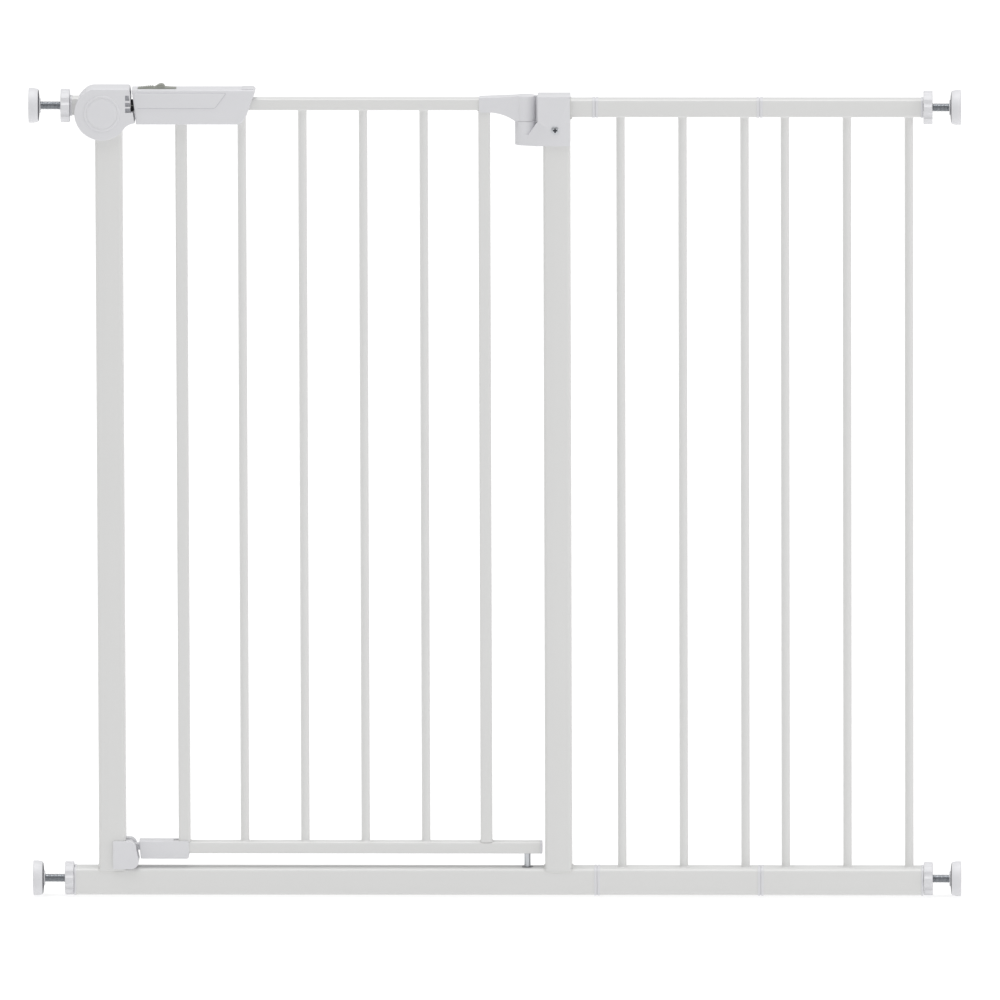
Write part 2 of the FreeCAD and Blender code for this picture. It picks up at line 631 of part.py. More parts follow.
def handle():
    """Two shells that close over the latch end of the top rail."""
    face = handle_face()
    slot_half = BOLT_HALF + SLOT_GAP
    opening = box(HANDLE_MOUTH_X[0], HANDLE_MOUTH_X[1], -slot_half, slot_half,
                  BOLT_LOW_Z - SLOT_GAP, BOLT_LOW_Z + BOLT_HEIGHT + SLOT_GAP)
    stem_half = STEM_HALF + SLOT_GAP
    stem_slot = box(STEM_X[0] - SLOT_GAP, STEM_X[1] + BOLT_TRAVEL + SLOT_GAP,
                    -stem_half, stem_half, STEM_SLOT_LOW_Z, HANDLE_TOP_Z)
    for name, side in (("handle_front", -1), ("handle_rear", 1)):
        half = shell_half(face, HANDLE_HALF, HANDLE_WALL, side)
        for x, z in HANDLE_SCREWS:
            boss = rod(HANDLE_BOSS_R, V(x, 0, z), V(x, side * (HANDLE_HALF - HANDLE_WALL), z))
            half = half.fuse(boss)
        half = half.cut(opening).cut(stem_slot)
        for space in door_space():
            half = half.cut(space)
        for x, z in HANDLE_SCREWS:
            half = half.cut(handle_screw(x, z)).cut(screw_mouth(x, z))
        save(name, half.removeSplitter())
    save("handle_screws", *[handle_screw(x, z) for x, z in HANDLE_SCREWS])


def lock():
    """Thumb slider on the handle, the bolt it draws back, and the bolt's spring."""
    bolt_top = BOLT_LOW_Z + BOLT_HEIGHT
    bolt = box(BOLT_TIP_X, BOLT_REAR_X, -BOLT_HALF, BOLT_HALF, BOLT_LOW_Z, bolt_top)
    save("lock_bolt", bolt)
    low = HANDLE_TOP_Z + PLATE_GAP
    top = low + PLATE_THICKNESS
    middle = (low + top) / 2
    slider = bar_x(*PLATE_X, middle, PLATE_WIDTH, PLATE_THICKNESS, 0.5)
    for i in range(RIBS):
        x = PLATE_X[0] + PLATE_THICKNESS + i * RIB_PITCH
        rib = box(x, x + RIB_PITCH / 2, -NUB_HALF, NUB_HALF, top, top + RIB_HEIGHT)
        slider = slider.fuse(rib)
    left, right = NUB_X
    foot = top - 0.2
    left_foot = (left, foot)
    left_top = (left + 4.5, NUB_TOP_Z - 0.9)
    right_top = (right - 1.5, NUB_TOP_Z - 1.1)
    right_foot = (right, foot)
    nub = outline((left_foot, left_top), (left_top, (left + 7.0, NUB_TOP_Z), right_top),
                  (right_top, right_foot), (right_foot, left_foot))
    stem = box(*STEM_X, -STEM_HALF, STEM_HALF, bolt_top, middle)
    slider = slider.fuse(slab(nub, -NUB_HALF, NUB_HALF)).fuse(stem)
    save("thumb_slider", slider.removeSplitter())
    axis_z = (BOLT_LOW_Z + bolt_top) / 2
    start = V(BOLT_REAR_X, 0, axis_z)
    end = V(LATCH_STILE_X - DOOR_TUBE / 2, 0, axis_z)
    outer, inner = LOCK_SPRING_R
    save("lock_spring", rod(outer, start, end).cut(rod(inner, start, end)))


# wall spindles -----------------------------------------------------------------------

def spindle(name, side, z):
    """A threaded rod with its wall pad, and the wheel nut that drives it."""
    wall = side * PAD_FACE_X
    rod_end = wall - side * THREAD_SEAT
    rod_tail = rod_end - side * ROD_LENGTH
    save("spindle_rod_" + name, rod(ROD_RADIUS, V(rod_end, 0, z), V(rod_tail, 0, z)))

    inner = wall - side * PAD_THICKNESS
    hub = inner - side * HUB_HEIGHT
    pad = Part.makeCone(PAD_RADIUS - PAD_TAPER, PAD_RADIUS, PAD_THICKNESS - THREAD_SEAT,
                        V(inner, 0, z), V(side, 0, 0))
    pad = pad.fuse(rod(PAD_RADIUS, V(rod_end, 0, z), V(wall, 0, z)))
    pad = pad.fuse(rod(HUB_R, V(hub, 0, z), V(inner, 0, z)))
    pad = pad.cut(rod(ROD_RADIUS, V(hub - side, 0, z), V(rod_end, 0, z)))
    save("wall_pad_" + name, pad.removeSplitter())

    face = (FRAME_LEFT_X if side < 0 else FRAME_RIGHT_X) + side * NUT_GAP
    back = face + side * NUT_THICKNESS
    nut = rod(NUT_RADIUS, V(face, 0, z), V(back, 0, z))
    reach = NUT_RADIUS + SCALLOP_R - SCALLOP_DEPTH
    for i in range(NUT_LOBES):
        turn = 2 * math.pi * (i + 0.5) / NUT_LOBES
        y = reach * math.cos(turn)
        w = z + reach * math.sin(turn)
        nut = nut.cut(rod(SCALLOP_R, V(face - side, y, w), V(back + side, y, w)))
    nut = nut.cut(rod(ROD_RADIUS + TOUCH, V(face - side, 0, z), V(back + side, 0, z)))
    save("adjuster_nut_" + name, nut)


def main():
    os.makedirs("parts", exist_ok=True)
    rail_z = RAIL_BOTTOM_Z + RAIL_HEIGHT / 2
    frame_tubes()
    extension_panel(1, JOINT_X[0], JOINT_X[1] - PLUG_FLANGE / 2)
    extension_panel(2, JOINT_X[1], FRAME_RIGHT_X - INSERT_FLANGE)
    for i, x in enumerate(JOINT_X):
        name = "joint_" + str(i + 1)
        joint_plug(name + "_top_plug", x, FAR_AXIS_Z, TOP_RAIL, TOP_RAIL, TOP_CORNER)
        joint_plug(name + "_bottom_plug", x, rail_z, FRAME_DEPTH, RAIL_HEIGHT, FRAME_CORNER)
    end_insert("latch_top_insert", -1, LATCH_AXIS_Z, LATCH_AXIS_Z, TOP_RAIL, TOP_RAIL, TOP_CORNER)
    end_insert("far_top_insert", 1, FAR_AXIS_Z, FAR_AXIS_Z, TOP_RAIL, TOP_RAIL, TOP_CORNER)
    for name, side in (("latch_bottom_insert", -1), ("far_bottom_insert", 1)):
        end_insert(name, side, LOW_AXIS_Z, rail_z, FRAME_DEPTH, RAIL_HEIGHT, FRAME_CORNER)
    latch_housing()
    strike_insert()
    bottom_catch()
    hinge_bracket()
    lower_bush()
    door_frame()
    bottom_sleeve()
    hinge_arm()
    pivot_pin()
    handle()
    lock()
    spindle("latch_top", -1, LATCH_AXIS_Z)
    spindle("latch_bottom", -1, LOW_AXIS_Z)
    spindle("far_top", 1, FAR_AXIS_Z)
    spindle("far_bottom", 1, LOW_AXIS_Z)


main()
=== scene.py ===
import json
import math
import bmesh
import bpy
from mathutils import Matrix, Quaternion, Vector


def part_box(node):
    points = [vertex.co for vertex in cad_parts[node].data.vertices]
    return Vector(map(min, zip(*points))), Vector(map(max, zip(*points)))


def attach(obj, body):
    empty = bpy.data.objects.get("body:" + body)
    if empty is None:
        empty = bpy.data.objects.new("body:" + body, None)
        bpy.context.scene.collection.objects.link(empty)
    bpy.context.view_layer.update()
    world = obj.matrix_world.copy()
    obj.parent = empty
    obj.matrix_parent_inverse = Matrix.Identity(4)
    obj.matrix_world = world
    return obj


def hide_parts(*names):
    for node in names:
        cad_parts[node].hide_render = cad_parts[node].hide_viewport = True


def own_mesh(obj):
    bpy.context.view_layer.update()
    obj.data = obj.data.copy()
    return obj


# Pressure-mounted safety gate: powder-coated steel tubes, moulded latch, handle and wall
# pads, zinc-plated threaded rods. Metres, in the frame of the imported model.

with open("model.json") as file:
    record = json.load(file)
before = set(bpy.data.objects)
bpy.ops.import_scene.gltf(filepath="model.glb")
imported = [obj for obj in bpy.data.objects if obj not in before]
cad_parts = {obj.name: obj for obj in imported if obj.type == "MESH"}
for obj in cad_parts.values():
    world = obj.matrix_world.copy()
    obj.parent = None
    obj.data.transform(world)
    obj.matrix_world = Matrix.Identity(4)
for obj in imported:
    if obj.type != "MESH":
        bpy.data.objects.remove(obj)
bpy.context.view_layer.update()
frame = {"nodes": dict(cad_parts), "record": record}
scene = bpy.context.scene
MM = 0.001
X, Y, Z = 0, 1, 2
CORNERS = ("latch_top", "latch_bottom", "far_top", "far_bottom")

# The body that each CAD node rides on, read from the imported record.
BODY = {node: body for body, nodes in frame["record"]["behaviour"]["bodies"].items()
        for node in nodes}


# finishes ----------------------------------------------------------------------------

CLOUD_SIZE = 120.0                # the slow drift of a finish across a piece, in millimetres
LIGHT_SHARE = 0.25                # the light colour's least share; drift times grit adds to it


def linear(code):
    """An sRGB hex colour as linear red, green, blue and alpha."""
    parts = [int(code[i:i + 2], 16) / 255 for i in (1, 3, 5)]
    return [p / 12.92 if p <= 0.04045 else ((p + 0.055) / 1.055) ** 2.4 for p in parts] + [1.0]


def add(tree, kind, inputs=None, **settings):
    """Adds a node: settings are its own, inputs are values or another node's output."""
    made = tree.nodes.new(kind)
    for name, value in settings.items():
        setattr(made, name, value)
    for name, value in (inputs or {}).items():
        if isinstance(value, bpy.types.NodeSocket):
            tree.links.new(value, made.inputs[name])
        else:
            made.inputs[name].default_value = value
    return made


def finish_of(name, light, dark, grain, bump, rough, stretch=(1, 1, 1), detail=3.0, **fixed):
    """A finish from two close colours: grain is the size of its texture in millimetres, bump
    how deep that is in millimetres, rough the least and greatest roughness."""
    made = bpy.data.materials.new(name)
    made.use_nodes = True
    tree = made.node_tree
    tree.nodes.clear()
    place = add(tree, "ShaderNodeTexCoord").outputs["Object"]
    turned = add(tree, "ShaderNodeMapping", {"Vector": place, "Scale": stretch}).outputs[0]
    clouds = add(tree, "ShaderNodeTexNoise", {"Vector": place, "Scale": 1 / (CLOUD_SIZE * MM),
                                              "Detail": 2.0})
    grit = add(tree, "ShaderNodeTexNoise", {"Vector": turned, "Scale": 1 / (grain * MM),
                                            "Detail": detail, "Roughness": 0.55})
    share = add(tree, "ShaderNodeMath", {0: clouds.outputs["Fac"], 1: grit.outputs["Fac"],
                                         2: LIGHT_SHARE}, operation="MULTIPLY_ADD")
    # sockets 6 and 7 are the two colours of a Mix node
    colour = add(tree, "ShaderNodeMix", {"Factor": share.outputs[0], 6: linear(dark),
                                         7: linear(light)}, data_type="RGBA")
    gloss = add(tree, "ShaderNodeMapRange", {"Value": grit.outputs["Fac"], "To Min": rough[0],
                                             "To Max": rough[1]})
    relief = add(tree, "ShaderNodeBump", {"Height": grit.outputs["Fac"], "Strength": 1.0,
                                          "Distance": bump * MM})
    shader = add(tree, "ShaderNodeBsdfPrincipled", {"Base Color": colour.outputs[2],
                                                    "Roughness": gloss.outputs[0],
                                                    "Normal": relief.outputs[0], **fixed})
    add(tree, "ShaderNodeOutputMaterial", {"Surface": shader.outputs[0]})
    made.diffuse_color = linear(light)
    return made


# Polyester powder coat on steel: a satin skin with faint orange peel, so highlights are soft.
powder_coat = finish_of("white_powder_coated_steel", "#DDDDDC", "#D9D9D8", 1.6, 0.012, (0.34, 0.46))
# The same coat over a weld: it hides the bead's ripples but not its lumps.
coated_weld = finish_of("powder_coated_weld", "#DCDCDA", "#D2D2D0", 2.4, 0.12, (0.36, 0.5))
# Injection-moulded ABS from a spark-eroded tool: matt, a touch cooler than the coat.
moulded_abs = finish_of("white_moulded_abs", "#DCDCDF", "#D7D7DA", 0.9, 0.010, (0.42, 0.54),
                        IOR=1.53)
# The strip round the handle's grip field: the same ABS made darker, painted shade of a parting
# groove that is not cut.
groove_shade_painted_abs = finish_of("painted_groove_shade_abs", "#C3C3C8", "#BBBBC0", 0.9, 0.010, (0.5, 0.6),
                        IOR=1.53)
# Polypropylene in grey, moulded: waxy and a little warm, for the thumb slider.
grey_pp = finish_of("grey_moulded_polypropylene", "#989A93", "#8A8C84", 0.8, 0.02, (0.42, 0.58))
# The channel behind the strike windows: cool grey, in shade.
strike_abs = finish_of("grey_moulded_abs", "#A6A7AC", "#9A9BA1", 0.9, 0.015, (0.45, 0.6))
# Glass-filled nylon, black: dull, with pale flecks where fibres meet the surface.
black_nylon = finish_of("black_glass_filled_nylon", "#47464A", "#2E2D31", 0.7, 0.02, (0.45, 0.65))
# Dark grey acetal turned for a bush: slick, with a low even gloss.
acetal = finish_of("dark_grey_acetal", "#8C8C8F", "#7D7D80", 1.2, 0.006, (0.28, 0.38), IOR=1.48)
# Thermoplastic rubber, mid grey: no gloss, so it grips the wall and leaves no mark.
pad_tpe = finish_of("grey_thermoplastic_rubber", "#77767C", "#68676D", 0.8, 0.04, (0.7, 0.85))
# Bright zinc plate over cut threads and turned pins: cold sheen with drawn marks.
zinc_plate = finish_of("bright_zinc_plated_steel", "#D8DADD", "#AEB1B5", 1.1, 0.008, (0.22, 0.4),
                       stretch=(1, 3, 1), Metallic=1.0)
# The flanks and roots of the rolled thread, darker than the crests: painted shade in the thread's
# hollows.
thread_flank_painted_shade = finish_of("painted_shade_thread_flank", "#C0C3C7", "#94979B", 0.7, 0.01, (0.3, 0.5),
                         Metallic=1.0)
# The walls of a driven cross recess: steel coloured dark, painted shade in the recess.
cross_recess_painted_shade = finish_of("painted_shade_cross_recess", "#55585C", "#3A3C40", 0.5, 0.01, (0.4, 0.6),
                         Metallic=1.0)
# Dark thermoplastic rubber on the inner face of each wall pad, matt as an eraser.
pad_dark = finish_of("dark_thermoplastic_rubber", "#5C5B60", "#4B4A4F", 0.8, 0.04, (0.7, 0.85))
# Music wire wound cold: darker, oiled, with fine die lines along the wire.
spring_wire = finish_of("drawn_spring_wire", "#A9A6A0", "#7F7C77", 0.9, 0.006, (0.25, 0.4),
                        stretch=(3, 1, 1), Metallic=1.0)


# making pieces -----------------------------------------------------------------------

def piece(name, bm, body, finish, *stands_for, crease=35, merge=True):
    """Turns a finished bmesh into a piece that rides on a body."""
    if merge:
        bmesh.ops.remove_doubles(bm, verts=bm.verts, dist=0.002 * MM)
        bmesh.ops.recalc_face_normals(bm, faces=bm.faces)
    mesh = bpy.data.meshes.new(name)
    bm.to_mesh(mesh)
    bm.free()
    mesh.shade_smooth()
    mesh.set_sharp_from_angle(angle=math.radians(crease))
    mesh.materials.append(finish)
    made = bpy.data.objects.new(name, mesh)
    scene.collection.objects.link(made)
    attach(made, body)
    if stands_for:
        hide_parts(*stands_for)
    return made


def size_and_middle(node):
    """The size and the centre of a CAD node's box, in metres."""
    lo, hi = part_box(node)
    return hi - lo, (hi + lo) / 2


def round_edges(bm, edges, radius, segments=3):
    bmesh.ops.bevel(bm, geom=list(edges), offset=radius * MM, offset_type="OFFSET",
                    segments=segments, profile=0.5, affect="EDGES", material=-1,
                    clamp_overlap=True)


def runs_along(edge, axis):
    span = edge.verts[0].co - edge.verts[1].co
    return abs(span[axis]) > 0.9 * span.length


def turns_corner(m, edge):
    """An edge round the end of a part that lies along X, rather than along its length."""
    return not runs_along(edge, X)


def block(lo, hi):
    """A box between two corners, in metres."""
    bm = bmesh.new()
    bmesh.ops.create_cube(bm, size=1.0)
    bmesh.ops.scale(bm, vec=hi - lo, verts=bm.verts)
    bmesh.ops.translate(bm, vec=(hi + lo) / 2, verts=bm.verts)
    return bm


def sharp_edges(bm, angle=30):
    limit = math.radians(angle)
    return [e for e in bm.edges if len(e.link_faces) == 2 and e.calc_face_angle(0) > limit]


def copy_of(node):
    """A CAD node's own shape as a clean bmesh, its flat faces whole again."""
    bm = bmesh.new()
    bm.from_mesh(frame["nodes"][node].data)
    bmesh.ops.remove_doubles(bm, verts=bm.verts, dist=0.001 * MM)
    bmesh.ops.dissolve_limit(bm, angle_limit=math.radians(0.5), verts=bm.verts, edges=bm.edges)
    return bm


def eased(node, name, finish, radius, where=None, segments=3, angle=30):
    """A moulding or casting: the CAD shape with its edges rounded; where picks the edges."""
    bm = copy_of(node)
    edges = sharp_edges(bm, angle)
    if where:
        edges = [e for e in edges if where((e.verts[0].co + e.verts[1].co) / 2 / MM, e)]
    round_edges(bm, edges, radius, segments)
    return piece(name, bm, BODY[node], finish, node)


def lathe(profile, centre, axis, steps=32):
    """A closed round shape: profile holds (distance along, radius) points in millimetres."""
    bm = bmesh.new()
    side = (axis + 1) % 3
    verts = []
    for along, radius in profile:
        point = Vector(centre)
        point[axis] += along * MM
        point[side] += radius * MM
        verts.append(bm.verts.new(point))
    edges = [bm.edges.new(pair) for pair in zip(verts, verts[1:])]
    line = Vector((0, 0, 0))
    line[axis] = 1.0
    bmesh.ops.spin(bm, geom=verts + edges, cent=centre, axis=line, angle=2 * math.pi, steps=steps,
                   use_merge=True)
    return bm


def join(target, other):
    """Adds one bmesh to another as a further shell."""
    mesh = bpy.data.meshes.new("part")
    other.to_mesh(mesh)
    other.free()
    target.from_mesh(mesh)
    bpy.data.meshes.remove(mesh)
    return target


def bead(points, radius, closed=False):
    """A weld bead: a smooth round line through points in millimetres, as a bmesh."""
    curve = bpy.data.curves.new("bead", "CURVE")
    curve.dimensions = "3D"
    curve.bevel_depth = radius * MM
    curve.bevel_resolution = 2
    curve.resolution_u = 4
    curve.use_fill_caps = True
    line = curve.splines.new("NURBS")
    line.points.add(len(points) - 1)
    for point, place in zip(line.points, points):
        point.co = (*(Vector(place) * MM), 1.0)
    line.use_cyclic_u = closed
    line.order_u = 3
    line.use_endpoint_u = not closed
    holder = bpy.data.objects.new("bead", curve)
    mesh = bpy.data.meshes.new_from_object(holder)
    bm = bmesh.new()
    bm.from_mesh(mesh)
    bpy.data.objects.remove(holder)
    bpy.data.curves.remove(curve)
    bpy.data.meshes.remove(mesh)
    return bm


# steel tubes -------------------------------------------------------------------------

TUBE_WALL = 1.2
FRAME_CORNER = 3.6
TOP_CORNER = 2.5
DOOR_CORNER = 2.0
BAR_RADIUS = 4.75
COLLAR = 1.3                      # how far a bar's weld spreads on the rail
STUB_MIDDLE_Z = 892.0

TUBES = {"bottom_rail": (X, FRAME_CORNER), "latch_post": (Z, FRAME_CORNER),
         "hinge_post": (Z, FRAME_CORNER), "latch_side_stub": (X, TOP_CORNER),
         "hinge_side_stub": (X, TOP_CORNER), "extension_1_top_rail": (X, TOP_CORNER),
         "extension_2_top_rail": (X, TOP_CORNER), "extension_1_bottom_rail": (X, FRAME_CORNER),
         "extension_2_bottom_rail": (X, FRAME_CORNER), "door_top_rail": (X, DOOR_CORNER),
         "door_bottom_rail": (X, DOOR_CORNER), "latch_stile": (Z, DOOR_CORNER),
         "hinge_stile": (Z, DOOR_CORNER)}


def square_tube(node, axis, corner):
    """A rolled tube: round long corners, an even wall and open ends."""
    bm = block(*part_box(node))
    round_edges(bm, [e for e in bm.edges if runs_along(e, axis)], corner, 5)
    ends = [f for f in bm.faces if abs(f.normal[axis]) > 0.9]
    bmesh.ops.delete(bm, geom=ends, context="FACES_ONLY")
    bmesh.ops.recalc_face_normals(bm, faces=bm.faces)
    bmesh.ops.solidify(bm, geom=bm.faces[:], thickness=TUBE_WALL * MM)
    return piece(node + "_coated", bm, BODY[node], powder_coat, node)


def round_bars(node):
    """Welded round bars: each swells into a small collar where it meets a rail."""
    low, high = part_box(node)
    length = (high.z - low.z) / MM
    merged = bmesh.new()
    spread = BAR_RADIUS + COLLAR
    profile = [(0, 0), (0, spread), (0.35, spread - 0.5), (1.0, BAR_RADIUS + 0.25),
               (2.2, BAR_RADIUS)]
    profile += [(length - along, radius) for along, radius in reversed(profile)]
    for x in bar_places(node):
        join(merged, lathe(profile, Vector((x, 0, low.z)), Z, 28))
    return piece(node + "_coated", merged, BODY[node], powder_coat, node)


def bar_places(node):
    """The X of each bar in a group, from the middle of each separate solid."""
    bm = bmesh.new()
    bm.from_mesh(frame["nodes"][node].data)
    bmesh.ops.remove_doubles(bm, verts=bm.verts, dist=0.001 * MM)
    places = []
    for x in sorted(v.co.x for v in bm.verts):
        if not places or x - places[-1][0] > 3 * BAR_RADIUS * MM:
            places.append([x, x])
        places[-1][1] = x
    bm.free()
    return [(a + b) / 2 for a, b in places]


for node, (axis, corner) in TUBES.items():
    square_tube(node, axis, corner)
for node in ("extension_1_bars", "extension_2_bars", "door_bars"):
    round_bars(node)


def foot_welds():
    """Beads round the foot of each post, which dip over the rail's rounded shoulders."""
    merged = bmesh.new()
    rail_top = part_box("bottom_rail")[1].z / MM
    for node in ("latch_post", "hinge_post"):
        size, middle = size_and_middle(node)
        half = size.x / 2 / MM
        x = middle.x / MM
        for side in (-1, 1):
            front = side * (half - 0.3)
            dip = rail_top - FRAME_CORNER
            points = [(x - half - 1.0, side * 11.0, rail_top + 0.2),
                      (x - half - 0.9, side * 13.4, rail_top - 0.5),
                      (x - half - 0.2, front, rail_top - 2.2), (x - half + 4, front, dip),
                      (x, front, dip - 0.5),
                      (x + half - 4, front, dip), (x + half + 0.2, front, rail_top - 2.2),
                      (x + half + 0.9, side * 13.4, rail_top - 0.5),
                      (x + half + 1.0, side * 11.0, rail_top + 0.2)]
            join(merged, bead(points, 0.75))
            beside = [(x + side * (half + 0.3), y, rail_top + 0.2) for y in (-12, -6, 0, 6, 12)]
            join(merged, bead(beside, 1.3))
    return piece("post_foot_welds", merged, "frame", coated_weld)


def shoulder_fillers():
    """The coped foot of each post, which fills the rail's rounded shoulders under its faces."""
    merged = bmesh.new()
    rail_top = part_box("bottom_rail")[1].z
    for node in ("latch_post", "hinge_post"):
        size, middle = size_and_middle(node)
        for side in (-1, 1):
            outer = side * (size.y / 2 - 0.02 * MM)
            inner = side * (size.y / 2 - 3.2 * MM)
            lo = Vector((middle.x - size.x / 2 + 0.4 * MM, min(outer, inner), rail_top - 3.9 * MM))
            hi = Vector((middle.x + size.x / 2 - 0.4 * MM, max(outer, inner), rail_top + 0.5 * MM))
            filler = block(lo, hi)
            low_edges = [e for e in filler.edges
                         if all(v.co.z < rail_top - 3 * MM for v in e.verts)]
            round_edges(filler, low_edges, 0.9, 2)
            join(merged, filler)
    return piece("post_foot_fillers", merged, "frame", powder_coat)


def stub_welds():
    """The bead round the stub on the hinge post, and two lumps under it."""
    merged = bmesh.new()
    stub_lo, stub_hi = (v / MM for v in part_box("hinge_side_stub"))
    x = stub_lo.x + 0.4
    low = stub_lo.z
    high = stub_hi.z
    ring = [(x, -9, low), (x, 0, low), (x, 9, low), (x, 10, low + 2), (x, 10, STUB_MIDDLE_Z),
            (x, 10, high - 2), (x, 9, high), (x, 0, high), (x, -9, high), (x, -10, high - 2),
            (x, -10, STUB_MIDDLE_Z), (x, -10, low + 2)]
    join(merged, bead(ring, 1.0, closed=True))
    for depth in (-5, 5):
        join(merged, bead([(x + 0.3, depth - 4, low - 0.8), (x + 0.5, depth, low - 1.0),
                           (x + 0.3, depth + 4, low - 0.8)], 1.5))
    return piece("stub_welds", merged, "frame", coated_weld)


def door_welds():
    """Beads where the door's stiles meet its rails."""
    merged = bmesh.new()
    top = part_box("door_top_rail")[0].z / MM
    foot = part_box("door_bottom_rail")[1].z / MM
    for node in ("latch_stile", "hinge_stile"):
        size, middle = size_and_middle(node)
        a = size.x / 2 / MM
        x = middle.x / MM
        b = size.y / 2 / MM
        for z in (top - 0.1, foot + 0.1):
            for side in (-1, 1):
                across = [(x + side * (a + 0.1), y, z) for y in (-b + 2, 0, b - 2)]
                along = [(x + d, side * (b - 0.25), z) for d in (-a + 1.5, 0, a - 1.5)]
                join(merged, bead(across, 0.9))
                join(merged, bead(along, 0.45))
    return piece("door_welds", merged, "door", coated_weld)


foot_welds()
shoulder_fillers()
stub_welds()
door_welds()


# plugs and inserts -------------------------------------------------------------------

for joint in ("joint_1", "joint_2"):
    for level in ("top", "bottom"):
        eased(joint + "_" + level + "_plug", joint + "_" + level + "_moulding", moulded_abs, 0.3,
              turns_corner, 2, 40)
for corner in CORNERS:
    eased(corner + "_insert", corner + "_insert_moulding", moulded_abs, 0.5, turns_corner, 2, 40)
eased("rail_end_cap", "rail_end_cap_moulding", moulded_abs, 0.45, turns_corner, 2, 40)


# latch housing -----------------------------------------------------------------------

HOUSING_FACE = 19.0
WINDOW_LEFT = -411.5
WINDOW_FOOT_Z = 888
WINDOW_HEAD_Z = 908.4
HOUSING_SCREWS = ((-457.5, 873.0), (-437.4, 900.0), (-437.4, 868.0))


def lies_at(edge, half):
    """Whether an edge lies in one of the two outer faces of a casing this deep."""
    return all(abs(abs(v.co.y) / MM - half) < 0.05 for v in edge.verts)


def near(m, places, reach):
    """Whether a point is within reach of one of the (x, z) places."""
    return any(math.hypot(m.x - x, m.z - z) < reach for x, z in places)


def housing_rim(m, edge):
    """The housing's outer edges, but not those of the strike windows or the screw holes."""
    at_window = m.x > WINDOW_LEFT and WINDOW_FOOT_Z < m.z < WINDOW_HEAD_Z
    return lies_at(edge, HOUSING_FACE) and not at_window and not near(m, HOUSING_SCREWS, 5)


for side in ("front", "rear"):
    eased("latch_housing_" + side, "latch_housing_" + side + "_moulding", moulded_abs, 1.5,
          housing_rim, 4)


def badge():
    """The blank round cover: a raised disc with a soft rim and a shallow ring groove."""
    lo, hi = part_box("latch_badge")
    centre = Vector(((lo.x + hi.x) / 2, hi.y, (lo.z + hi.z) / 2))
    radius = (hi.x - lo.x) / 2 / MM
    bm = lathe([(0, 0), (0, radius), (-0.3, radius), (-0.75, radius - 0.35), (-0.95, radius - 1.0),
                (-0.98, radius - 2.6), (-0.7, radius - 2.9), (-0.7, radius - 3.2),
                (-0.98, radius - 3.5), (-1.0, radius - 6), (-1.0, 0)], centre, Y, 72)
    return piece("latch_badge_moulding", bm, "frame", moulded_abs, "latch_badge", crease=60)


badge()
eased("strike_insert", "strike_insert_moulding", strike_abs, 0.3, None, 2)
eased("bottom_catch", "bottom_catch_moulding", moulded_abs, 1.0,
      lambda m, e: abs(abs(m.y) - 18.0) < 0.1 and m.x > -428.5, 3)


# handle ------------------------------------------------------------------------------

HANDLE_FACE = 15.0
FIELD_HEIGHT = 0.8
SHADE_STRIP_HEIGHT = 0.08
HANDLE_SCREWS = ((-392.0, 880.8), (-325.0, 881.5), (-292.0, 908.0))


def panel(points, corner, y0, y1, ease):
    """A flat raised field from (x, z) corner points, its corners and front edge rounded."""
    bm = bmesh.new()
    verts = [bm.verts.new(Vector((x, y0, z)) * MM) for x, z in points]
    bm.faces.new(verts)
    bmesh.ops.bevel(bm, geom=bm.verts[:], offset=corner * MM, offset_type="OFFSET", segments=5,
                    profile=0.5, affect="VERTICES", material=-1)
    made = bmesh.ops.extrude_face_region(bm, geom=bm.faces[:])
    raised = [v for v in made["geom"] if isinstance(v, bmesh.types.BMVert)]
    bmesh.ops.translate(bm, vec=(0, (y1 - y0) * MM, 0), verts=raised)
    front = [e for e in bm.edges if all(abs(v.co.y / MM - y1) < 0.01 for v in e.verts)]
    round_edges(bm, front, ease, 2)
    return bm


def handle_fields():
    """The raised grip field on each face of the handle, and the lip at its free end."""
    for side, name in ((-1, "front"), (1, "rear")):
        face = side * (HANDLE_FACE - 0.02)
        # a flat dark strip just larger than the field: painted shade of a parting groove
        groove = panel([(-399.0, 892.6), (-311.1, 892.6), (-298.0, 910.2), (-401.6, 910.2)], 2.6,
                       face, face + side * SHADE_STRIP_HEIGHT, 0.03)
        piece("handle_painted_groove_shade_" + name, groove, "door", groove_shade_painted_abs)
        bm = panel([(-399.2, 893.2), (-311.5, 893.2), (-299.0, 909.8), (-401.4, 909.8)], 2.2,
                   face, face + side * FIELD_HEIGHT, 0.3)
        piece("handle_field_" + name, bm, "door", moulded_abs)
    lip = panel([(-283.0, 909.0), (-268.2, 909.0), (-268.2, 914.4), (-281.4, 914.4)], 1.2,
                -12.5, 12.5, 1.0)
    piece("handle_end_lip", lip, "door", moulded_abs)


def handle_rim(m, edge):
    """The handle's outer edges, but not those of the screw holes."""
    return lies_at(edge, HANDLE_FACE) and not near(m, HANDLE_SCREWS, 5)


for side in ("front", "rear"):
    eased("handle_" + side, "handle_" + side + "_moulding", moulded_abs, 1.8, handle_rim, 4)
handle_fields()


# lock --------------------------------------------------------------------------------

TAPER_RUN = 13.0                  # how far in from each end the thumb plate reaches full height
TAPER_TIP = 0.2                   # the share of its height that is left at the very end
PLATE_FOOT = 0.3                  # the ends taper down to this far over the handle's top
COIL_STEPS = 14                   # flats in one turn of a spring


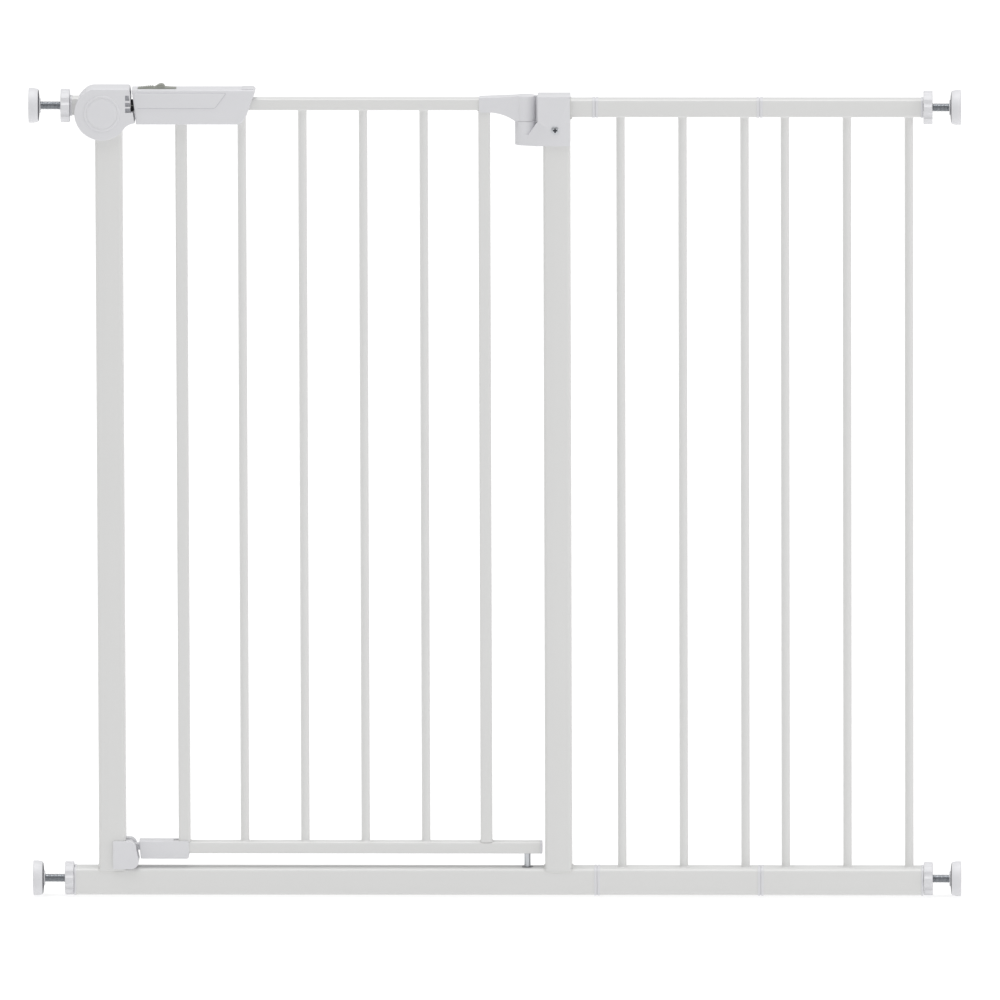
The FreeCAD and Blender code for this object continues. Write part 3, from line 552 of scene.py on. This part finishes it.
def coil(name, body, node, wire, turns):
    """A compression spring wound inside the ring its CAD node takes, along its long axis."""
    lo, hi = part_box(node)
    size = hi - lo
    axis = max(range(3), key=lambda i: size[i])
    side = (axis + 1) % 3
    middle = (lo + hi) / 2
    reach = size[side] / 2 - wire / 2 * MM
    start = middle.copy()
    start[axis] = lo[axis] + wire / 2 * MM
    run = size[axis] - wire * MM
    bm = bmesh.new()
    bmesh.ops.create_circle(bm, segments=8, radius=wire / 2 * MM)
    across = Vector((0, 0, 0))
    across[(axis + 2) % 3] = 1.0
    bmesh.ops.rotate(bm, verts=bm.verts, cent=(0, 0, 0),
                     matrix=across.to_track_quat("Z", "Y").to_matrix())
    begin = start.copy()
    begin[side] += reach
    bmesh.ops.translate(bm, vec=begin, verts=bm.verts)
    line = Vector((0, 0, 0))
    line[axis] = 1.0
    first = bm.edges[:]
    total = round(turns * COIL_STEPS)
    made = bmesh.ops.spin(bm, geom=bm.verts[:] + first, cent=start, axis=line,
                          dvec=line * (run / total), angle=2 * math.pi * turns, steps=total)
    last = [g for g in made["geom_last"] if isinstance(g, bmesh.types.BMEdge)]
    bmesh.ops.edgeloop_fill(bm, edges=first)
    bmesh.ops.edgeloop_fill(bm, edges=last)
    return piece(name, bm, body, spring_wire, node)


def thumb_slider():
    """The thumb plate, whose ends taper down to the handle, with its ribs and nub."""
    bm = copy_of("thumb_slider")
    lo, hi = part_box("thumb_slider")
    seat = (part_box("handle_front")[1].z / MM + PLATE_FOOT) * MM
    for vert in bm.verts:
        run = min(vert.co.x - lo.x, hi.x - vert.co.x) / MM
        if vert.co.z > seat and run < TAPER_RUN:
            share = TAPER_TIP + (1 - TAPER_TIP) * run / TAPER_RUN
            vert.co.z = seat + (vert.co.z - seat) * share
    round_edges(bm, sharp_edges(bm), 0.12, 2)
    return piece("thumb_slider_moulding", bm, BODY["thumb_slider"], grey_pp, "thumb_slider")


thumb_slider()
eased("lock_bolt", "lock_bolt_moulding", black_nylon, 0.6, lambda m, e: True, 2)


def bolt_rib():
    """The raised rib along the bolt's face that splits it into two dark bands."""
    lo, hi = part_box("lock_bolt")
    z = (lo.z + hi.z) / 2
    rib = block(Vector((lo.x + 0.2 * MM, lo.y - 0.25 * MM, z - 0.6 * MM)),
                Vector((lo.x + 9.0 * MM, hi.y + 0.25 * MM, z + 0.6 * MM)))
    round_edges(rib, sharp_edges(rib), 0.15, 1)
    return piece("lock_bolt_rib", rib, "lock", grey_pp)


bolt_rib()
lock_spring = coil("lock_spring_coil", "door", "lock_spring", 1.0, 7)
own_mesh(lock_spring)


# screws ------------------------------------------------------------------------------

BRACKET_SCREW = (67.5, 868.5)
SHANK_LENGTH = 6.0


def cross_screw(place, side, radius, height, shank, shank_length):
    """A pan-head screw seen from its head: a domed head with a cross recess, and its shank."""
    # the outline runs from the shank's tip to the crown; side says which way the head faces
    outline = [(-shank_length, 0), (-shank_length, shank), (0, shank), (0, radius),
               (height * 0.45, radius), (height * 0.8, radius * 0.84), (height, radius * 0.5),
               (height, 0)]
    return lathe([(side * a, r) for a, r in outline], place, Y, 28)


def cut_cross(name, bm, places, ways, radius, height):
    """Cuts a cross recess into every head of a group and returns the cut mesh."""
    target_mesh = bpy.data.meshes.new(name)
    bmesh.ops.remove_doubles(bm, verts=bm.verts, dist=0.002 * MM)
    bmesh.ops.recalc_face_normals(bm, faces=bm.faces)
    bm.to_mesh(target_mesh)
    bm.free()
    target = bpy.data.objects.new(name, target_mesh)
    scene.collection.objects.link(target)
    width = radius * 0.2
    reach = radius * 0.58
    cutters = []
    for long_x in (True, False):
        tool = bmesh.new()
        for place, way in zip(places, ways):
            a, b = (reach, width) if long_x else (width, reach)
            crown = place + Vector((0, way * height * MM, 0))
            lo = crown - Vector((a * MM, height * 0.9 * MM, b * MM))
            hi = crown + Vector((a * MM, height * 0.9 * MM, b * MM))
            join(tool, block(lo, hi))
        tool_mesh = bpy.data.meshes.new("cutter")
        tool.to_mesh(tool_mesh)
        tool.free()
        cutter = bpy.data.objects.new("cutter", tool_mesh)
        scene.collection.objects.link(cutter)
        cut = target.modifiers.new("recess", "BOOLEAN")
        cut.operation = "DIFFERENCE"
        cut.solver = "EXACT"
        cut.object = cutter
        cutters.append(cutter)
    bpy.context.view_layer.update()
    depsgraph = bpy.context.evaluated_depsgraph_get()
    done = bpy.data.meshes.new_from_object(target.evaluated_get(depsgraph))
    for extra in [target, *cutters]:
        bpy.data.objects.remove(extra)
    result = bmesh.new()
    result.from_mesh(done)
    bpy.data.meshes.remove(done)
    return result


def screw_group(node, radius, height, shank, seat, ways, places):
    """Screws with their heads on faces at distance seat from the middle plane."""
    merged = bmesh.new()
    centres = [Vector((x, way * seat, z)) * MM for (x, z), way in zip(places, ways)]
    for centre, way in zip(centres, ways):
        join(merged, cross_screw(centre, way, radius, height, shank, SHANK_LENGTH))
    cut = cut_cross(node + "_cut", merged, centres, ways, radius, height)
    screws = piece(node + "_plated", cut, BODY[node], zinc_plate, node, crease=40)
    # faces inside each cross recess take the dark finish: painted shade in the recess
    screws.data.materials.append(cross_recess_painted_shade)
    for face in screws.data.polygons:
        centre = min(centres, key=lambda c: (c - face.center).length)
        way = 1 if centre.y > 0 else -1
        depth = way * (face.center.y - centre.y) / MM
        reach = math.hypot(face.center.x - centre.x, face.center.z - centre.z) / MM
        if 0.02 < depth < height * 0.9 and reach < radius * 0.62:
            face.material_index = 1
    return screws


screw_group("bracket_screws", 4.4, 1.6, 2.1, 17.2, (-1, 1), (BRACKET_SCREW, BRACKET_SCREW))
screw_group("housing_screws", 3.4, 1.0, 1.7, 19.0, (1, 1, 1), HOUSING_SCREWS)
screw_group("handle_screws", 3.2, 1.4, 1.4, 13.4, (1, 1, 1), HANDLE_SCREWS)


# hinge -------------------------------------------------------------------------------

HINGE_X = 34.0
KNUCKLE_R = 11.5
POST_HALF = 15.2                  # the bracket's inner faces, which clip round the post
POST_LEFT_X = 53.5
CAP_FOOT_Z = 904


def bracket_rim(m, edge):
    """The bracket's outside edges, but not those of the barrel's bore or the screw holes."""
    in_bore = math.hypot(m.x - HINGE_X, m.y) < KNUCKLE_R - 1.5
    inside_post = abs(m.y) < POST_HALF and m.x > POST_LEFT_X and m.z < CAP_FOOT_Z
    return not in_bore and not inside_post and not near(m, (BRACKET_SCREW,), 4)


eased("hinge_bracket", "hinge_bracket_moulding", moulded_abs, 0.7, bracket_rim, 3)
eased("hinge_arm", "hinge_arm_moulding", moulded_abs, 0.8,
      lambda m, e: math.hypot(m.x - HINGE_X, m.y) > 5 and not (m.x < -5 and abs(m.y) < 8.1), 3)
eased("bottom_sleeve", "bottom_sleeve_moulding", moulded_abs, 1.0,
      lambda m, e: lies_at(e, 10.0) or (m.x < -398 and abs(m.y) > 8.5), 3)
eased("bottom_tongue", "bottom_tongue_moulding", moulded_abs, 0.8, None, 3)


def turned_pin(node, chamfer):
    """A turned steel pin with both ends chamfered."""
    lo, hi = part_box(node)
    radius = (hi.x - lo.x) / 2 / MM
    length = (hi.z - lo.z) / MM
    centre = Vector(((lo.x + hi.x) / 2, 0, lo.z))
    bm = lathe([(0, 0), (0, radius - chamfer), (chamfer, radius), (length - chamfer, radius),
                (length, radius - chamfer), (length, 0)], centre, Z, 32)
    return piece(node + "_plated", bm, BODY[node], zinc_plate, node)


turned_pin("pivot_pin", 0.6)
turned_pin("lower_pivot_pin", 0.6)
eased("barrel_bush", "barrel_bush_turned", acetal, 0.3, None, 2)
eased("lower_pivot_bush", "lower_pivot_bush_turned", acetal, 0.3, None, 2)
coil("closing_spring_coil", "frame", "closing_spring", 1.5, 6)


# wall spindles -----------------------------------------------------------------------

THREAD_PITCH = 1.5
THREAD_DEPTH = 0.8


def outward(corner):
    """Which way along X a corner's spindle screws out."""
    return -1 if corner.startswith("latch") else 1


def threaded_rod(corner):
    """A rod with a real rolled thread: one tooth's outline swept along its helix."""
    node = "spindle_rod_" + corner
    lo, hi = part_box(node)
    crest = (hi.z - lo.z) / 2
    root = crest - THREAD_DEPTH * MM
    middle = (lo + hi) / 2
    pitch = THREAD_PITCH * MM
    turns = math.ceil((hi.x - lo.x) / pitch) + 2
    steps = 16
    bm = bmesh.new()
    outline = [(0.0, root), (0.44, crest), (0.56, crest), (1.0, root)]
    begin = lo.x - pitch
    verts = [bm.verts.new((begin + share * pitch, middle.y + radius, middle.z))
             for share, radius in outline]
    edges = [bm.edges.new(pair) for pair in zip(verts, verts[1:])]
    bmesh.ops.spin(bm, geom=verts + edges, cent=(begin, middle.y, middle.z), axis=(1, 0, 0),
                   dvec=(pitch / steps, 0, 0), angle=2 * math.pi * turns, steps=turns * steps)
    bmesh.ops.remove_doubles(bm, verts=bm.verts, dist=0.01 * MM)
    for x, way in ((lo.x, -1), (hi.x, 1)):
        cut = bmesh.ops.bisect_plane(bm, geom=bm.verts[:] + bm.edges[:] + bm.faces[:],
                                     plane_co=(x, 0, 0), plane_no=(way, 0, 0), clear_outer=True)
        rim = [g for g in cut["geom_cut"] if isinstance(g, bmesh.types.BMEdge)]
        bmesh.ops.edgeloop_fill(bm, edges=rim)
    rod = piece(node + "_plated", bm, BODY[node], zinc_plate, node, crease=25)
    # flank and root faces below the crest take the darker finish: painted shade in the thread's
    # hollows
    rod.data.materials.append(thread_flank_painted_shade)
    for face in rod.data.polygons:
        reach = math.hypot(face.center.y - middle.y, face.center.z - middle.z)
        if abs(face.normal.x) < 0.9 and reach < crest - 0.2 * THREAD_DEPTH * MM:
            face.material_index = 1
    return rod


def wall_pad(corner):
    """A moulded cup with a hub for the rod, a grey rubber disc inside its rim and another
    on the face that meets the wall."""
    node = "wall_pad_" + corner
    side = outward(corner)
    lo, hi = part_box(node)
    wall_x = lo.x if side < 0 else hi.x
    centre = Vector((wall_x, 0, (lo.z + hi.z) / 2))
    body = BODY[node]
    cup = [(-1.6, 0), (-1.6, 17.6), (-0.1, 17.7), (0, 18.0), (0, 18.9), (-0.3, 19.35), (-0.9, 19.5),
           (-5.0, 19.5), (-9.4, 18.7), (-10.2, 18.3), (-10.6, 17.9), (-9.9, 17.5), (-9.9, 8.6),
           (-12.6, 8.4), (-13.1, 7.9), (-13.1, 4.9), (-3.9, 4.9), (-3.9, 0)]
    shell = lathe([(side * a, r) for a, r in cup], centre, X, 64)
    shell_piece = piece(node + "_moulding", shell, body, moulded_abs, node)
    ring = [(-9.95, 8.7), (-9.95, 17.4), (-10.5, 17.6), (-11.0, 16.6), (-11.5, 12.0), (-11.7, 9.0),
            (-11.4, 8.7), (-9.95, 8.7)]
    piece(node + "_ring", lathe([(side * a, r) for a, r in ring], centre, X, 64), body, pad_dark)
    facing = [(-1.55, 0), (-1.55, 17.4), (-0.5, 17.4), (-0.1, 17.1), (0, 16.6), (0, 14.0),
              (-0.5, 13.6), (-0.5, 12.2), (0, 11.8), (0, 7.0), (-0.5, 6.6), (-0.5, 0)]
    piece(node + "_facing", lathe([(side * a, r) for a, r in facing], centre, X, 64), body, pad_tpe)
    return shell_piece


for corner in CORNERS:
    threaded_rod(corner)
    wall_pad(corner)
    nut_z = size_and_middle("adjuster_nut_" + corner)[1].z / MM
    eased("adjuster_nut_" + corner, "adjuster_nut_" + corner + "_moulding", moulded_abs, 0.9,
          lambda m, e: not runs_along(e, X) and math.hypot(m.y, m.z - nut_z) > 8, 3, 35)


# floor, light and camera -------------------------------------------------------------

FLOOR_SIZE = 120.0
FLOOR_GLOW = 0.75                 # the floor is a lit white table, which brightens the undersides
SKY = 0.55
OVERHEAD = 1.8
OVERHEAD_SPREAD = math.radians(45)
VIEW_DISTANCE = 30.0
VIEW_WIDTH = 1.116                # how much of the gate's plane the camera takes in
ELEVATION = math.radians(9.6)
ROLL = math.radians(-0.18)        # levels the rails, which the small azimuth tilts
AZIMUTH = math.radians(1.3)
SENSOR = 36.0
AIM = Vector((0.0045, 0.0, 0.4486))


def floor():
    bm = bmesh.new()
    bmesh.ops.create_grid(bm, x_segments=2, y_segments=2, size=FLOOR_SIZE / 2)
    bmesh.ops.translate(bm, vec=(0, 0, -0.0004), verts=bm.verts)
    mesh = bpy.data.meshes.new("floor")
    bm.to_mesh(mesh)
    bm.free()
    table = finish_of("lit_pale_table", "#979797", "#949494", 6.0, 0.0, (0.85, 0.95))
    shader = table.node_tree.nodes["Principled BSDF"]
    shader.inputs["Emission Color"].default_value = linear("#FFFFFF")
    shader.inputs["Emission Strength"].default_value = FLOOR_GLOW
    mesh.materials.append(table)
    made = bpy.data.objects.new("floor", mesh)
    scene.collection.objects.link(made)


def soft_light(name, place, aim, size, watts):
    data = bpy.data.lights.new(name, "AREA")
    data.shape = "RECTANGLE"
    data.size, data.size_y = size
    data.energy = watts
    lamp = bpy.data.objects.new(name, data)
    lamp.location = place
    lamp.rotation_euler = (Vector(aim) - Vector(place)).to_track_quat("-Z", "Y").to_euler()
    scene.collection.objects.link(lamp)


def studio():
    world = bpy.data.worlds.new("studio")
    scene.world = world
    world.use_nodes = True
    world.node_tree.nodes["Background"].inputs["Color"].default_value = linear("#FFFFFF")
    world.node_tree.nodes["Background"].inputs["Strength"].default_value = SKY
    data = bpy.data.lights.new("overhead", "SUN")
    data.energy = OVERHEAD
    data.angle = OVERHEAD_SPREAD
    lamp = bpy.data.objects.new("overhead", data)
    lamp.rotation_euler = (math.radians(4), math.radians(-3), 0)
    scene.collection.objects.link(lamp)
    soft_light("right", (6.0, -2.0, 2.0), (0, 0, 0.5), (3.0, 3.0), 50)
    scene.view_settings.view_transform = "Standard"


def camera():
    data = bpy.data.cameras.new("camera")
    data.sensor_width = SENSOR
    data.lens = SENSOR * VIEW_DISTANCE / VIEW_WIDTH
    data.clip_start = 0.1
    data.clip_end = 200
    back = Vector((math.sin(AZIMUTH) * math.cos(ELEVATION),
                   -math.cos(AZIMUTH) * math.cos(ELEVATION), math.sin(ELEVATION)))
    made = bpy.data.objects.new("camera", data)
    made.location = AIM + back * VIEW_DISTANCE
    turn = (-back).to_track_quat("-Z", "Y") @ Quaternion((0, 0, 1), ROLL)
    made.rotation_euler = turn.to_euler()
    scene.collection.objects.link(made)
    scene.camera = made


floor()
studio()
camera()
